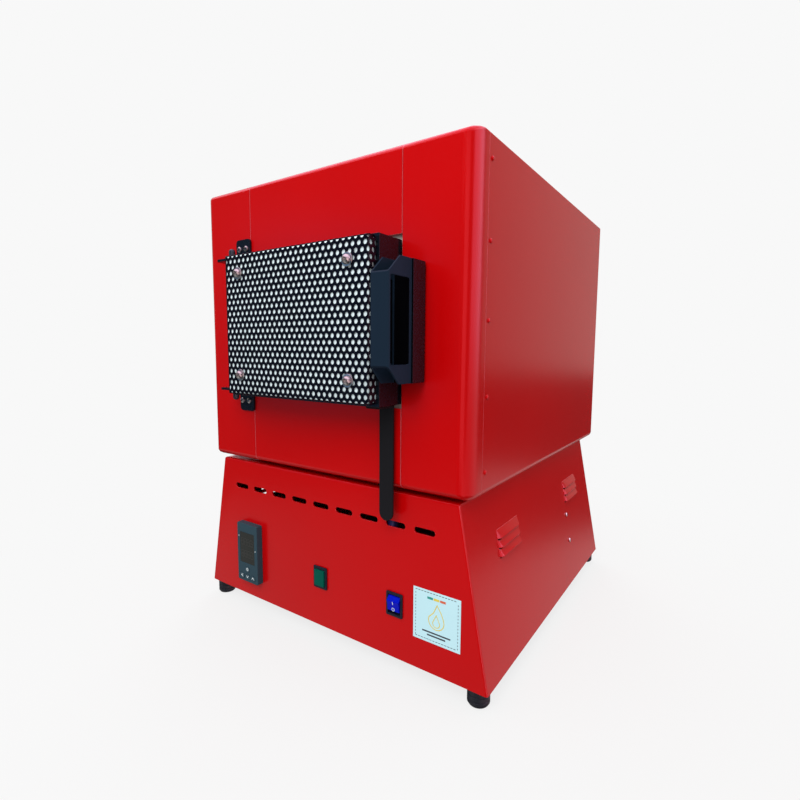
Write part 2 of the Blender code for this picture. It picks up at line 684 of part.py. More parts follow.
def base_shell():
    """Tapered base: front, sides and top in one folded shell, open below and behind."""
    shell = frustum("base_shell", 0, BASE_Y0, BASE_Y1, BASE_Z0, BASE_Z1)
    top = lambda x, y, z: z > BASE_Z1 - 1
    front = lambda x, y, z: y < BASE_Y0 + 1
    left_top = lambda x, y, z: z > BASE_Z1 - 1 and x < 100
    right_top = lambda x, y, z: z > BASE_Z1 - 1 and x > 300
    front_top = lambda x, y, z: top(x, y, z) and front(x, y, z)
    left_front = lambda x, y, z: front(x, y, z) and x < 100
    right_front = lambda x, y, z: front(x, y, z) and x > 300
    soften(shell, (left_top, right_top, front_top, left_front, right_front), 3.2, 2)
    z0, z1 = BASE_Z0 - OVER, BASE_Z1 - SHEET
    cut(shell, frustum("room", WALL, BASE_Y0 + SHEET, BASE_Y1 + OVER, z0, z1))
    tie(shell)
    places = [(s, y, z) for s in (0, 1) for y in LOUVRE_Y for z in LOUVRE_Z]
    join(shell, *[hood(s, y, z, 0.0) for s, y, z in places])
    tie(shell)
    tools = [hood(s, y, z, 1.0) for s, y, z in places]
    cut(shell, *tools, *[slot_cutter(k) for k in range(SLOTS)], *bays())
    tie(shell)


def slot_cutter(k):
    """Cutter for slot k of the row in the base's front."""
    x, half = SLOT_X0 + k * SLOT_PITCH, SLOT_H / 2
    ring = rounded(x, x + SLOT_LEN, SLOT_Z - half, SLOT_Z + half, half - 0.1, 4)
    return prism_y("slot", ring, BASE_Y0 - OVER, BASE_Y0 + OVER)


def bays():
    """Cutters for the panel openings of the controller, the lamp and the switch."""
    c = CUTOUT_CLEAR
    sizes = (
        (CTRL_X, CTRL_Z, CTRL_HALF_W - 1.1, CTRL_HALF_H - 1.6),
        (LAMP_X, PANEL_Z, NECK_HALF_W + c, NECK_HALF_H + c),
        (ROCKER_X, PANEL_Z, NECK_HALF_W + c, NECK_HALF_H + c),
    )
    y0, y1 = BASE_Y0 - OVER, BASE_Y0 + OVER
    return [box("bay", x - w, x + w, y0, y1, z - h, z + h) for x, z, w, h in sizes]


def base_rear():
    """Rear closure with the gland's hole and five vents."""
    z0, z1 = BASE_Z0 + SHEET + 2 * GAP, BASE_Z1 - SHEET - GAP
    rear = frustum("base_rear_panel", WALL + GAP, BASE_Y1 - SHEET, BASE_Y1, z0, z1)
    y0, y1 = BASE_Y1 - OVER, BASE_Y1 + OVER
    tools = [bore(GLAND_X, y0, y1, GLAND_Z, 9.4, 16)]
    for k in range(5):
        x = VENT_X0 + VENT_PITCH * k
        tools.append(prism_y("vent", rounded(x, x + VENT_LEN, VENT_Z0, VENT_Z1, 3.9, 3), y0, y1))
    tie(cut(rear, *tools))


def base_bottom():
    """Bottom closure between the tapered sides."""
    edge = 3.4
    x0, x1 = base_x(BASE_Z0, 0) + edge, base_x(BASE_Z0, 1) - edge
    z0 = BASE_Z0 + GAP
    box("base_bottom_plate", x0, x1, BASE_Y0 + SHEET + GAP, BASE_Y1 - 0.4, z0, z0 + SHEET)


def feet_and_rails():
    """Four rubber feet under the base, and the two rails that hold the casing off it."""
    profile = [(10.0, 0.0), (12.6, 1.2), (14.0, 4.0), (14.0, BASE_Z0)]
    for k, (x, y) in enumerate(FEET):
        lathe(f"foot_{k + 1}", (x, y, 0), "z", profile, 20)
    for name, x in RAILS:
        box(name, x, x + RAIL_W, RAIL_Y0, RAIL_Y1, BASE_Z1 + GAP, CASE_Z0 - GAP)


def power_gland():
    """Strain-relief gland for the supply, with its bore open and no cable in it."""
    body = [(9.0, -12), (9.0, GAP), (13.5, GAP), (13.5, 6.5), (12.0, 7.5), (12.0, 18.0), (9.5, 22.0)]
    gland = lathe("power_gland", (GLAND_X, BASE_Y1, GLAND_Z), "y", body)
    tie(cut(gland, bore(GLAND_X, BASE_Y1 - 20, BASE_Y1 + 30, GLAND_Z, GLAND_BORE, 20)))


# ================================================================ controls
def controller():
    """Panel-mounted temperature controller with its window recess and four key wells."""
    w, h = CTRL_HALF_W, CTRL_HALF_H
    bezel = rounded(CTRL_X - w, CTRL_X + w, CTRL_Z - h, CTRL_Z + h, 2.0, 2)
    body = prism_y("controller_body", bezel, CTRL_Y, FACE_Y - GAP)
    soften(body, (lambda x, y, z: y < CTRL_Y + 0.5,), 1.0, 2)
    w, h = CTRL_HALF_W - 1.7, CTRL_HALF_H - 2.2
    join(body, box("can", CTRL_X - w, CTRL_X + w, FACE_Y - 3, CTRL_CAN_Y1, CTRL_Z - h, CTRL_Z + h))
    w = DISPLAY_HALF_W
    tools = [box("recess", CTRL_X - w, CTRL_X + w, CTRL_Y - OVER, CTRL_Y + 1.6, DISPLAY_Z0, DISPLAY_Z1)]
    for x, z in KEYS:
        tools.append(prism_y("well", key_outline(x, z, 0.4), CTRL_Y - OVER, CTRL_Y + 3.2))
    tie(cut(body, *tools))
    w -= GAP
    z0, z1 = DISPLAY_Z0 + GAP, DISPLAY_Z1 - GAP
    box("controller_window", CTRL_X - w, CTRL_X + w, CTRL_Y + 0.2, CTRL_Y + 1.3, z0, z1)
    for k, (x, z) in enumerate(KEYS):
        prism_y(f"controller_key_{k + 1}", key_outline(x, z, 0.0), CTRL_Y - KEY_PROUD, CTRL_Y + 2.0)


def key_outline(x, z, grow):
    """A key's outline, grown for the well round it."""
    w, h = KEY_HALF_W + grow, KEY_HALF_H + grow
    return rounded(x - w, x + w, z - h, z + h, 1.3 + grow / 2, 2)


def frame_piece(name, x, well_w, well_h, deep):
    """A snap-in panel frame with a rectangular well through it."""
    w, h = FRAME_W / 2, FRAME_H / 2
    ring = rounded(x - w, x + w, PANEL_Z - h, PANEL_Z + h, 1.6, 2)
    frame = prism_y(name, ring, FACE_Y - FRAME_PROUD, FACE_Y - GAP)
    soften(frame, (lambda px, py, pz: py < FACE_Y - FRAME_PROUD + 0.5,), 0.8, 2)
    w, h = NECK_HALF_W, NECK_HALF_H
    join(frame, box("neck", x - w, x + w, FACE_Y - 1.5, FACE_Y + deep, PANEL_Z - h, PANEL_Z + h))
    w, h = well_w / 2, well_h / 2
    well = box("well", x - w, x + w, FACE_Y - OVER, FACE_Y + deep - 2, PANEL_Z - h, PANEL_Z + h)
    return tie(cut(frame, well))


def indicator():
    """Green pilot lamp: a frame and a lens that fills it."""
    frame_piece("indicator_frame", LAMP_X, 19.2, 24.4, 22)
    w, h = 9.3, 11.9
    lens = rounded(LAMP_X - w, LAMP_X + w, PANEL_Z - h, PANEL_Z + h, 0.8, 2)
    cap = prism_y("indicator_lens", lens, FACE_Y - 5.0, FACE_Y + 14)
    soften(cap, (lambda x, y, z: y < FACE_Y - 4.5,), 1.0, 2)


def rocker():
    """Rocker switch, stored in its off position with the lower half pressed in."""
    frame_piece("rocker_frame", ROCKER_X, 19.2, 26.0, 24)
    turn = math.radians(ROCK_TILT)
    front = [(-11.6, -2.6), (-6.8, -8.0), (0.0, -7.4), (6.8, -8.0), (11.6, -2.6)]
    side = front + [(11.6, 0.5), (7.5, 7.5), (-7.5, 7.5), (-11.6, 0.5)]
    spun = []
    for z, y in side:
        spun_y = ROCK_Y + y * math.cos(turn) - z * math.sin(turn)
        spun_z = PANEL_Z + z * math.cos(turn) + y * math.sin(turn)
        spun.append((spun_y, spun_z))
    prism_x("rocker", spun, ROCKER_X - ROCKER_HALF_W, ROCKER_X + ROCKER_HALF_W)


def door_sensor():
    """Sensor behind the slot row, opposite the end of the door's strip."""
    y0 = BASE_Y0 + SHEET + GAP
    box("door_sensor", 350.6, 359.4, y0, BASE_Y0 + SHEET + 16, 184, 209)


def skew_block(inset, z0, z1):
    """Everything to the left of a line parallel to the right-hand base wall."""
    a, b = base_x(z0, 1) - inset, base_x(z1, 1) - inset
    x, y0, y1 = BASE_BOTTOM[0], SINK_Y0 - OVER, SINK_Y1 + OVER
    low = [(x, y0, z0), (a, y0, z0), (a, y1, z0), (x, y1, z0)]
    high = [(x, y0, z1), (b, y0, z1), (b, y1, z1), (x, y1, z1)]
    return loft("skew", [low, high])


def relay_heat_sink():
    """The relay's finned sink on the inside of the right wall."""
    edge, plate, reach = WALL + GAP, 6.0, 36.0
    sink = frustum("relay_heat_sink", edge, SINK_Y0, SINK_Y1, SINK_Z0, SINK_Z1)
    tools = [skew_block(edge + reach, SINK_Z0 - OVER, SINK_Z1 + OVER)]
    for k in range(6):
        low = SINK_Z0 + 5.0 + 11.0 * k
        tools.append(skew_block(edge + plate, low, low + 6.5))
    tie(cut(sink, *tools))


casing_front()
casing_wrap()
casing_rear()
casing_floor()
fibre_jacket()
bricks()
mouth_face()
heating()
terminal_cover()
door_shell()
door_insulation()
door_gasket()
door_guard()
guard_bolts()
handle_grip()
handle_bracket()
safety_strip()
hinges()
base_shell()
base_rear()
base_bottom()
feet_and_rails()
power_gland()
controller()
indicator()
rocker()
door_sensor()
relay_heat_sink()
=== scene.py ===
"""Looks for the front-loading electric kiln: materials, fine surface pieces, camera and light.

Lengths are in millimetres in the kiln's shop frame: X to the right from the casing's left side,
Y backwards from the casing's front, Z up from the floor. mm() turns a point into metres in the
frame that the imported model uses.
"""
import json
import math

import bmesh
import bpy
from mathutils import Matrix, Vector


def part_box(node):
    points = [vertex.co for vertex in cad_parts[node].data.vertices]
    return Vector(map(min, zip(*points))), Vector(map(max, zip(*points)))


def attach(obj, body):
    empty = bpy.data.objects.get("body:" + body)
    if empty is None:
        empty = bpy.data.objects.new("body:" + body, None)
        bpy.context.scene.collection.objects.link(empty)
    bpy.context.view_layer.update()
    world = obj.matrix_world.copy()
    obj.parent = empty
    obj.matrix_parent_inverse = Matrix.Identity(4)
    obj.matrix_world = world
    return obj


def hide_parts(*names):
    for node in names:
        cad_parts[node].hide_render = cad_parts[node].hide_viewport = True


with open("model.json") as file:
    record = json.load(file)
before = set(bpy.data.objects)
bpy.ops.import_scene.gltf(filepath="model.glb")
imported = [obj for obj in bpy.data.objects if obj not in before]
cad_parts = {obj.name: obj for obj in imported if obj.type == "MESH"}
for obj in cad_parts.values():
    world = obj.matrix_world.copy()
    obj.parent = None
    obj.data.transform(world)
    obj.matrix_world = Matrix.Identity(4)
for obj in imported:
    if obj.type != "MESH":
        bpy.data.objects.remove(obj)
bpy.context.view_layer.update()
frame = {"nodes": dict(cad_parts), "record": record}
NODES = frame["nodes"]
MID_X = -1000.0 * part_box("casing_wrap")[0].x
MID_Y = -1000.0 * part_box("casing_front_left")[0].y


def mm(x, y, z):
    """A shop-frame point in millimetres, in metres."""
    return Vector(((x - MID_X) / 1000.0, (y - MID_Y) / 1000.0, z / 1000.0))


class Box:
    """The extent of a CAD node at rest, in shop-frame millimetres."""

    def __init__(self, node):
        low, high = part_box(node)
        self.x0, self.x1 = low.x * 1000 + MID_X, high.x * 1000 + MID_X
        self.y0, self.y1 = low.y * 1000 + MID_Y, high.y * 1000 + MID_Y
        self.z0, self.z1 = low.z * 1000, high.z * 1000
        self.x, self.y, self.z = (self.x0 + self.x1) / 2, (self.y0 + self.y1) / 2, (self.z0 + self.z1) / 2


# ================================================================ shader helpers
def new_node(tree, kind, inputs=None, **settings):
    """Add a shader node; inputs are values or the sockets to link to."""
    node = tree.nodes.new(kind)
    for key, value in settings.items():
        setattr(node, key, value)
    for key, value in (inputs or {}).items():
        if isinstance(value, bpy.types.NodeSocket):
            tree.links.new(value, node.inputs[key])
        else:
            node.inputs[key].default_value = value
    return node


def noise(tree, place, size_mm, detail=2.0, rough=0.5):
    """Noise whose features are about size_mm wide."""
    node = new_node(tree, "ShaderNodeTexNoise", {
        "Vector": place, "Scale": 1000.0 / size_mm / 2.0, "Detail": detail, "Roughness": rough})
    return node.outputs["Fac"]


def spread(tree, value, low, high, start=0.3, end=0.7):
    """Map a noise value onto low..high."""
    node = new_node(tree, "ShaderNodeMapRange", {
        "Value": value, "From Min": start, "From Max": end, "To Min": low, "To Max": high})
    return node.outputs["Result"]


def shade(colour, k):
    return tuple(min(1.0, c * k) for c in colour) + (1.0,)


def surface(name, colour, rough, metal=0.0, specular=0.5, mottle=0.05, mottle_mm=60.0,
            grain=None, wave=None, rough_change=0.03, gloss_tint=(1.0, 1.0, 1.0)):
    """A finished surface: mottled colour, uneven roughness and up to two layers of relief.

    grain and wave are (feature size in mm, relief in mm).
    """
    material = bpy.data.materials.new(name)
    material.use_nodes = True
    tree = material.node_tree
    bsdf = tree.nodes["Principled BSDF"]
    place = new_node(tree, "ShaderNodeTexCoord").outputs["Object"]
    patch = noise(tree, place, mottle_mm, 3.0)
    fleck = noise(tree, place, 1.3, 1.0)
    blend = new_node(tree, "ShaderNodeMix", {"Factor": spread(tree, patch, 0.0, 1.0)}, data_type="RGBA")
    blend.inputs["A"].default_value = shade(colour, 1.0 - mottle)
    blend.inputs["B"].default_value = shade(colour, 1.0 + mottle)
    tree.links.new(blend.outputs["Result"], bsdf.inputs["Base Color"])
    bsdf.inputs["Metallic"].default_value = metal
    bsdf.inputs["Specular IOR Level"].default_value = specular
    bsdf.inputs["Specular Tint"].default_value = gloss_tint + (1.0,)
    low, high = max(0.02, rough - rough_change), rough + rough_change
    tree.links.new(spread(tree, fleck, low, high), bsdf.inputs["Roughness"])
    normal = None
    for layer in (wave, grain):
        if layer is None:
            continue
        size, relief = layer
        height = noise(tree, place, size, 1.0)
        inputs = {"Height": height, "Distance": relief / 1000.0, "Strength": 1.0}
        if normal is not None:
            inputs["Normal"] = normal
        normal = new_node(tree, "ShaderNodeBump", inputs).outputs["Normal"]
    if normal is not None:
        tree.links.new(normal, bsdf.inputs["Normal"])
    return material


# ================================================================ materials
RED = (0.56, 0.0008, 0.0016)
BLACK = (0.004, 0.006, 0.010)

MATERIALS = {
    "red_powder_coat": surface("red_coat", RED, 0.21, specular=0.5, mottle=0.04, mottle_mm=140.0,
                               grain=(1.5, 0.04), wave=(9.0, 0.05), gloss_tint=(1.0, 0.32, 0.36)),
    "satin_black": surface("satin_black", BLACK, 0.25, specular=0.45, grain=(1.2, 0.012),
                           gloss_tint=(0.62, 0.80, 1.0)),
    "guard_black": surface("guard_black", (0.0015, 0.0015, 0.006), 0.34, specular=0.16, grain=(1.2, 0.01)),
    "strip_grey": surface("strip_grey", (0.010, 0.010, 0.012), 0.6, specular=0.15, grain=(0.9, 0.02)),
    "pad_white": surface("pad_white", (0.80, 0.93, 0.97), 0.9, specular=0.1, mottle=0.03, grain=(2.2, 0.3)),
    "ceramic_fibre": surface("ceramic_fibre", (0.80, 0.77, 0.70), 0.95, specular=0.1, mottle=0.06,
                             mottle_mm=22.0, grain=(1.4, 0.35), wave=(9.0, 0.8)),
    "firebrick": surface("firebrick", (0.72, 0.58, 0.40), 0.92, specular=0.15, mottle=0.12, mottle_mm=18.0,
                         grain=(1.8, 0.5), wave=(14.0, 0.5)),
    "hearth_ceramic": surface("hearth_ceramic", (0.56, 0.50, 0.42), 0.8, specular=0.2, mottle=0.12,
                              mottle_mm=12.0, grain=(1.2, 0.2)),
    "heater_wire": surface("heater_wire", (0.16, 0.14, 0.13), 0.55, metal=0.8, mottle=0.15, mottle_mm=9.0),
    "probe_sheath": surface("probe_sheath", (0.75, 0.70, 0.60), 0.5, mottle=0.08, grain=(0.8, 0.02)),
    "bright_fastener": surface("bright_fastener", (0.56, 0.58, 0.56), 0.30, metal=1.0, mottle=0.03,
                               mottle_mm=6.0),
    "dark_fastener": surface("dark_fastener", (0.05, 0.06, 0.08), 0.3, metal=0.6, grain=(1.0, 0.01)),
    "zinc_sheet": surface("zinc_sheet", (0.52, 0.54, 0.56), 0.38, metal=0.9, mottle=0.12, mottle_mm=14.0),
    "controller_plastic": surface("controller_plastic", (0.028, 0.064, 0.086), 0.5, specular=0.2,
                                  grain=(0.8, 0.02)),
    "display_window": surface("display_window", (0.028, 0.031, 0.028), 0.3, specular=0.15, mottle=0.03),
    "key_plastic": surface("key_plastic", (0.034, 0.074, 0.098), 0.45, specular=0.4, grain=(0.8, 0.01)),
    "frame_black": surface("frame_black", (0.010, 0.014, 0.026), 0.4, specular=0.25, grain=(1.0, 0.015)),
    "lens_green": surface("lens_green", (0.0, 0.090, 0.062), 0.24, specular=0.10, mottle=0.05,
                          mottle_mm=8.0, gloss_tint=(0.15, 0.9, 0.8)),
    "rocker_blue": surface("rocker_blue", (0.0, 0.002, 0.52), 0.24, specular=0.30, mottle=0.03,
                           mottle_mm=10.0, gloss_tint=(0.1, 0.4, 1.0)),
    "sensor_blue": surface("sensor_blue", (0.006, 0.012, 0.10), 0.45, grain=(1.0, 0.02)),
    "sink_aluminium": surface("sink_aluminium", (0.66, 0.67, 0.69), 0.4, metal=1.0, mottle=0.04),
    "foot_rubber": surface("foot_rubber", (0.010, 0.014, 0.020), 0.5, specular=0.4, grain=(1.1, 0.05)),
}

EDGE_MM = {
    "red_powder_coat": 0.5, "satin_black": 0.8, "guard_black": 0.3, "strip_grey": 0.4, "firebrick": 0.8,
    "hearth_ceramic": 0.8, "controller_plastic": 0.3, "frame_black": 0.25, "lens_green": 0.3,
    "rocker_blue": 0.5, "key_plastic": 0.3, "ceramic_fibre": 1.2,
}
SEAM_EDGE_MM = 0.3
EDGE_ANGLE = 38
WELD_GAP = 0.000005

# The small rounded edges of these sheets get a brighter, part-metallic red: a painted highlight along their
# seams and folds.
HIGHLIGHT_EDGE_SHEETS = ("casing_front_left", "casing_front_right", "casing_front_upper", "casing_front_lower",
               "casing_wrap", "base_shell")
RED_EDGE_HIGHLIGHT = surface("red_edge_highlight", (0.86, 0.22, 0.25), 0.3, metal=0.75, mottle=0.12, mottle_mm=12.0)
# Faces deep behind the grip's finger window are painted near-black and matt: painted shade for the hollow.
POCKET_Y = -45.0
PAINTED_SHADE_BLACK = surface("pocket_painted_shade", (0.0012, 0.0012, 0.002), 0.9, specular=0.02, grain=(1.2, 0.02))


GRIP = surface("grip_plastic", (0.010, 0.021, 0.038), 0.5, specular=0.04, grain=(1.2, 0.02))


def finish_handle():
    """The grip is low-gloss plastic; faces deep behind its finger window get a near-black matt material as
    painted shade.
    """
    NODES["handle_grip"].data.materials[0] = GRIP
    depth = mm(0.0, POCKET_Y, 0.0).y
    for name in ("handle_bracket", "handle_grip"):
        node = NODES[name]
        mesh = node.data
        mesh.materials.append(PAINTED_SHADE_BLACK)
        turn = node.matrix_world.to_3x3()
        for face in mesh.polygons:
            # forward-facing faces deep in the hollow take the painted shade
            ahead = (turn @ face.normal).normalized().y < -0.9
            if ahead and (node.matrix_world @ face.center).y > depth:
                face.material_index = 1


def dress_cad_nodes():
    """Give every CAD node its material, smooth bends and small rounded edges."""
    slots = {row["node"]: row["material_slot"] for row in frame["record"]["subparts"]}
    for name, obj in NODES.items():
        slot = slots[name]
        mesh = obj.data
        for extra in ("custom_normal", "sharp_edge"):
            if extra in mesh.attributes:
                mesh.attributes.remove(mesh.attributes[extra])
        mesh.polygons.foreach_set("use_smooth", [True] * len(mesh.polygons))
        mesh.materials.clear()
        mesh.materials.append(MATERIALS[slot])
        weld = obj.modifiers.new("weld", "WELD")
        weld.merge_threshold = WELD_GAP
        if slot in EDGE_MM:
            bevel = obj.modifiers.new("edges", "BEVEL")
            seam = name.startswith("casing_front_")
            bevel.width = (SEAM_EDGE_MM if seam else EDGE_MM[slot]) / 1000.0
            bevel.segments = 2
            bevel.limit_method = "ANGLE"
            bevel.angle_limit = math.radians(EDGE_ANGLE)
            bevel.use_clamp_overlap = not seam
            # the bevel faces take the brighter red, painted on as an edge highlight
            if name in HIGHLIGHT_EDGE_SHEETS:
                mesh.materials.append(RED_EDGE_HIGHLIGHT)
                bevel.material = 1
        tidy = obj.modifiers.new("normals", "WEIGHTED_NORMAL")
        tidy.keep_sharp = True
    finish_handle()


# ================================================================ mesh helpers
def finish_piece(name, body, slot, rides="root", smooth_deg=35.0, material=None):
    """Turn a bmesh of metre points into a piece that rides on a CAD body."""
    bmesh.ops.recalc_face_normals(body, faces=body.faces)
    mesh = bpy.data.meshes.new(name)
    body.to_mesh(mesh)
    body.free()
    mesh.shade_smooth()
    mesh.set_sharp_from_angle(angle=math.radians(smooth_deg))
    mesh.materials.append(material or MATERIALS[slot])
    piece = bpy.data.objects.new(name, mesh)
    bpy.context.scene.collection.objects.link(piece)
    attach(piece, rides)
    return piece


def ring_basis(axis):
    """Two unit vectors across an axis."""
    axis = Vector(axis).normalized()
    side = Vector((0, 0, 1)) if abs(axis.z) < 0.9 else Vector((1, 0, 0))
    u = axis.cross(side).normalized()
    return axis, u, axis.cross(u).normalized()


def add_lathe(body, centre, axis, profile, sides=40, turn=0.0):
    """Add a closed turned shape: (radius, along) pairs in mm about an axis through centre."""
    axis, u, w = ring_basis(axis)
    centre = mm(*centre)
    rings = []
    for r, t in profile:
        ring = []
        for k in range(sides):
            a = turn + 2 * math.pi * k / sides
            reach = axis * t + u * (r * math.cos(a)) + w * (r * math.sin(a))
            ring.append(body.verts.new(centre + reach / 1000))
        rings.append(ring)
    for a, b in zip(rings, rings[1:]):
        for k in range(sides):
            j = (k + 1) % sides
            body.faces.new((a[k], a[j], b[j], b[k]))
    body.faces.new(rings[0])
    body.faces.new(rings[-1])


def lathe_piece(name, centre, axis, profile, slot, rides="root", sides=40):
    body = bmesh.new()
    add_lathe(body, centre, axis, profile, sides)
    return finish_piece(name, body, slot, rides)


# ================================================================ perforated guard
GUARD = Box("door_guard")
GUARD_T = 1.2
GUARD_BEND = 1.9
HOLE_R = 3.0
HOLE_PITCH = 9.0
HOLE_ROW = HOLE_PITCH * math.sqrt(3) / 2


def fold(flat, half, depth_in):
    """Fold a coordinate past the flat half-width down into a flange: (position, drop)."""
    straight = half - GUARD_BEND
    past = abs(flat) - straight
    sign = 1.0 if flat >= 0 else -1.0
    radius = GUARD_BEND - depth_in
    if past <= 0:
        return flat, depth_in
    angle = min(past / GUARD_BEND, math.pi / 2)
    run = max(0.0, past - GUARD_BEND * math.pi / 2)
    return sign * (straight + radius * math.sin(angle)), GUARD_BEND - radius * math.cos(angle) + run


def punched_sheet(body, width, height, first_x):
    """A flat sheet of staggered round holes, cell by cell; even rows have a hole at first_x, in mm."""
    steps = 4
    rows = int(height / HOLE_ROW / 2) + 2
    cols = int(width / HOLE_PITCH / 2) + 2
    for row in range(-rows, rows + 1):
        cz = row * HOLE_ROW
        shift = 0.5 if row % 2 else 0.0
        for col in range(-2 * cols, 2):
            cx = first_x + (col + shift) * HOLE_PITCH
            rim = []
            for side in range(4):
                for k in range(steps):
                    s = -0.5 + k / steps
                    corner = ((s, -0.5), (0.5, s), (-s, 0.5), (-0.5, -s))[side]
                    rim.append((cx + corner[0] * HOLE_PITCH, cz + corner[1] * HOLE_ROW))
            outer = [body.verts.new((x, 0.0, z)) for x, z in rim]
            inner = []
            for k in range(4 * steps):
                a = 2 * math.pi * (k - 2) / (4 * steps) - math.pi / 2
                inner.append(body.verts.new((cx + HOLE_R * math.cos(a), 0.0, cz + HOLE_R * math.sin(a))))
            for k in range(4 * steps):
                j = (k + 1) % (4 * steps)
                body.faces.new((outer[k], outer[j], inner[j], inner[k]))
    bmesh.ops.remove_doubles(body, verts=body.verts, dist=0.01)


def trim(body, point, normal, clear=True):
    geom = list(body.verts) + list(body.edges) + list(body.faces)
    bmesh.ops.bisect_plane(body, geom=geom, plane_co=point, plane_no=normal, clear_outer=clear, dist=1e-4)


def perforated_guard():
    """The stand-off guard: punched flat, then folded on four sides."""
    half_x = (GUARD.x1 - GUARD.x0) / 2
    half_z = (GUARD.z1 - GUARD.z0) / 2
    bend_run = GUARD_BEND * math.pi / 2
    reach = GUARD.y1 - GUARD.y0 - GUARD_BEND
    flat_x = half_x - GUARD_BEND + bend_run + reach
    flat_z = half_z - GUARD_BEND + bend_run + reach
    body = bmesh.new()
    punched_sheet(body, 2 * flat_x, 2 * flat_z, half_x - GUARD_BEND + bend_run / 2)
    for sign in (-1, 1):
        trim(body, (sign * flat_x, 0, 0), (sign, 0, 0))
        trim(body, (0, 0, sign * flat_z), (0, 0, sign))
        for k in range(4):
            past = bend_run * k / 3
            trim(body, (sign * (half_x - GUARD_BEND + past), 0, 0), (sign, 0, 0), clear=False)
            trim(body, (0, 0, sign * (half_z - GUARD_BEND + past)), (0, 0, sign), clear=False)
    edge_x, edge_z = half_x - GUARD_BEND * 0.4, half_z - GUARD_BEND * 0.4
    notch = [f for f in body.faces
             if abs(f.calc_center_median().x) > edge_x and abs(f.calc_center_median().z) > edge_z]
    bmesh.ops.delete(body, geom=notch, context="FACES")
    front = list(body.faces)
    made = bmesh.ops.extrude_face_region(body, geom=front)
    back = {v for v in made["geom"] if isinstance(v, bmesh.types.BMVert)}
    for vert in body.verts:
        inset = GUARD_T if vert in back else 0.0
        x, drop_x = fold(vert.co.x, half_x, inset)
        z, drop_z = fold(vert.co.z, half_z, inset)
        vert.co = mm(GUARD.x + x, GUARD.y0 + max(drop_x, drop_z), GUARD.z + z)
    guard = finish_piece("perforated_guard", body, "guard_black", "door")
    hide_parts("door_guard")
    return guard


# ================================================================ fasteners
def dome_screw(name, centre, axis, radius, height, slot, rides="root", washer=None, socket=0.45):
    """A domed screw head with a round socket, on an optional (radius, thickness) washer."""
    body = bmesh.new()
    base = 0.0
    if washer:
        w_r, w_t = washer
        add_lathe(body, centre, axis, [(radius * 0.5, 0.0), (w_r - 0.3, 0.0), (w_r, 0.3), (w_r, w_t - 0.3),
                                       (w_r - 0.3, w_t), (radius * 0.5, w_t)], 48)
        base = w_t
    profile = [(radius * 0.96, base + 0.05), (radius, base + 0.3)]
    for k in range(1, 8):
        a = math.pi / 2 * k / 8
        r = radius * math.cos(a)
        if r < radius * socket:
            break
        profile.append((r, base + 0.3 + (height - 0.3) * math.sin(a)))
    top = base + 0.3 + (height - 0.3) * math.sqrt(1 - socket ** 2)
    profile.append((radius * socket, top))
    profile.append((radius * socket * 0.92, top - height * 0.5))
    add_lathe(body, centre, axis, profile, 36)
    return finish_piece(name, body, slot, rides)


def pan_screw(name, centre, axis, radius, slot, rides="root", turn=0.3):
    """A pan head with a cross recess drawn as a dark block on its top: painted shade, not a cut."""
    body = bmesh.new()
    profile = [(radius * 0.97, 0.0), (radius, radius * 0.12), (radius * 0.93, radius * 0.42),
               (radius * 0.72, radius * 0.6), (radius * 0.3, radius * 0.68), (radius * 0.05, radius * 0.69)]
    add_lathe(body, centre, axis, profile, 32)
    head = finish_piece(name, body, slot, rides)
    # The cross is a thin dark block standing proud of the head, painted shade for the recess.
    n, u, w = ring_basis(axis)
    recess_shade_body = bmesh.new()
    top = mm(*centre) + n * (radius * 0.7 / 1000)
    for k in range(2):
        a = turn + math.pi / 2 * k
        along = (u * math.cos(a) + w * math.sin(a)) * (radius * 0.56 / 1000)
        across = (w * math.cos(a) - u * math.sin(a)) * (radius * 0.11 / 1000)
        deep = n * (radius * 0.03 / 1000)
        low = [top + s * along + t * across - deep * 3 for s, t in ((-1, -1), (1, -1), (1, 1), (-1, 1))]
        high = [p + deep * 4 for p in low]
        verts = [recess_shade_body.verts.new(p) for p in low + high]
        for face in ((0, 1, 2, 3), (4, 5, 6, 7), (0, 1, 5, 4), (1, 2, 6, 5), (2, 3, 7, 6), (3, 0, 4, 7)):
            recess_shade_body.faces.new([verts[i] for i in face])
    finish_piece(name + "_recess_shade", recess_shade_body, slot, rides, material=MATERIALS["frame_black"])
    return head


def guard_bolts():
    """Domed socket screws on washers, as wide as the CAD bolts."""
    for k in range(1, 5):
        cad = Box(f"guard_bolt_{k}")
        washer = (cad.x1 - cad.x0) / 2
        bolt = dome_screw(f"guard_screw_{k}", (cad.x, GUARD.y0 - 0.3, cad.z), (0, -1, 0), washer * 0.75,
                          5.0, "bright_fastener", "door", washer=(washer, 1.4), socket=0.38)
        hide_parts(f"guard_bolt_{k}")


RIVET_Z = (639.0, 549.0, 459.0, 369.8, 279.0)
RIVET_Y = 44.0


def casing_rivets():
    """Blind rivets down both side seams."""
    case = Box("casing_wrap")
    dome = [(2.9, -0.2), (2.9, 0.5), (2.6, 1.2), (1.9, 1.8), (1.0, 2.1), (0.1, 2.15)]
    for side, x, axis in (("right", case.x1, (1, 0, 0)), ("left", case.x0, (-1, 0, 0))):
        for k, z in enumerate(RIVET_Z):
            lathe_piece(f"rivet_{side}_{k + 1}", (x, RIVET_Y, z), axis, dome, "red_powder_coat", sides=24)


PLATE_FACE = -3.3
PLATE_SCREW_R = 4.3
SHEET_SCREW_R = 3.6
BRACKET_SCREWS = {"top": (571.8, 85.9, 100.9), "bottom": (345.7, 83.9, 99.3)}


def bracket_screws():
    """Two pan heads on each fixed hinge plate."""
    for level, (z, *places) in BRACKET_SCREWS.items():
        for k, x in enumerate(places):
            pan_screw(f"bracket_screw_{level}_{k + 1}", (x, PLATE_FACE, z), (0, -1, 0), PLATE_SCREW_R,
                      "bright_fastener", turn=0.4 + k)


WALL_LEAN = 41.0 / 220.0


